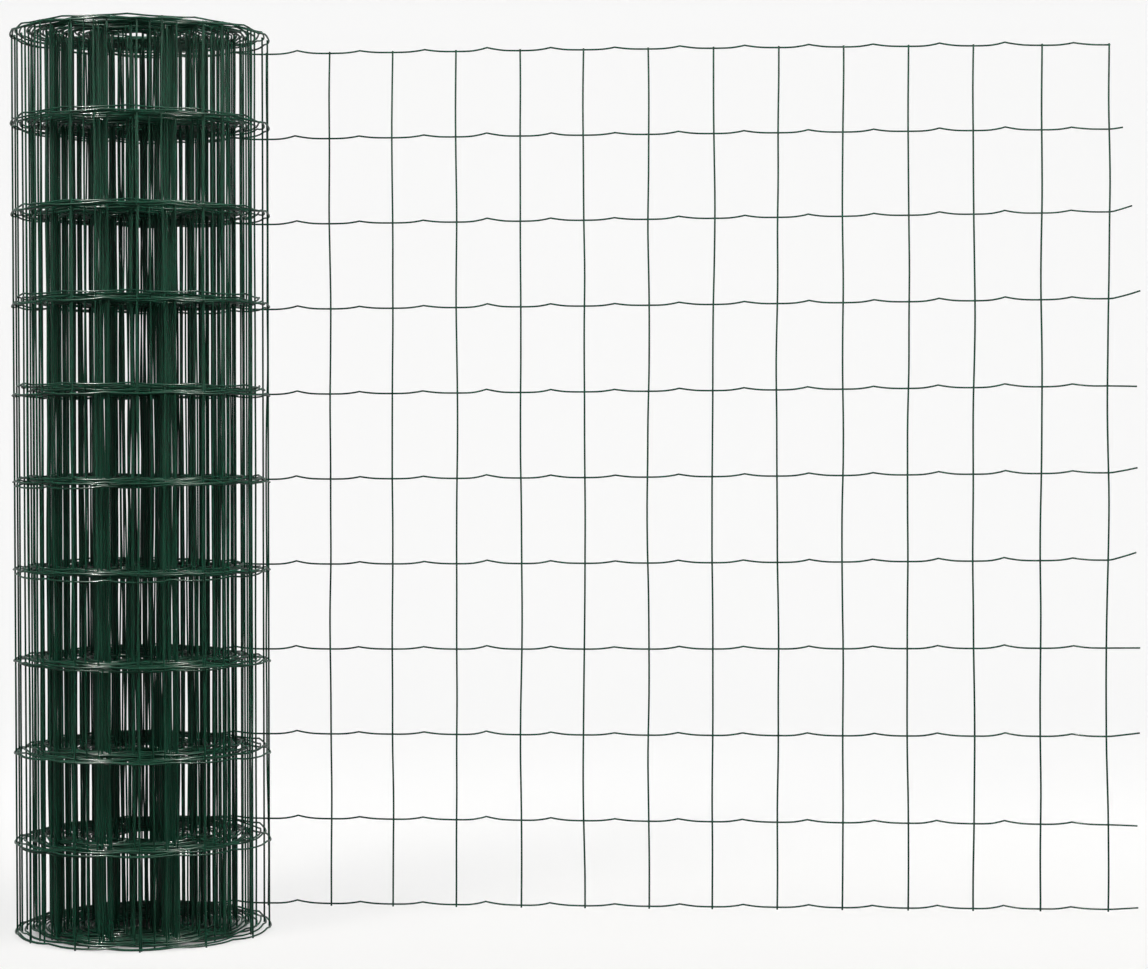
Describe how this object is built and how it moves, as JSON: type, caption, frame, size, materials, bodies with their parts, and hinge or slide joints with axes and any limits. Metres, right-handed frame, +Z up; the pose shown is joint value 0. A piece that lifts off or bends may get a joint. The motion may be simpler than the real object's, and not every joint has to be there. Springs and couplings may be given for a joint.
{
  "type": "roll of welded wire fencing",
  "caption": "Roll of crimped green plastic-coated welded wire mesh fencing, stood on its end with the free end unrolled flat to one side.",
  "frame": {"origin": "on the roll's own axis, level with the floor that the roll stands on", "axes": "+Z up along the axis of the roll, +X along the unrolled free end, +Y towards the back of the roll, where the free end peels off"},
  "size_m": [1.276, 0.2919, 1.0144],
  "materials": {
    "coated_wire": "moss green PVC coating on galvanised steel wire, satin gloss"
  },
  "bodies": {
    "root": {"wound_roll": "coated_wire", "unrolled_leader": "coated_wire"}
  },
  "joints": []
}
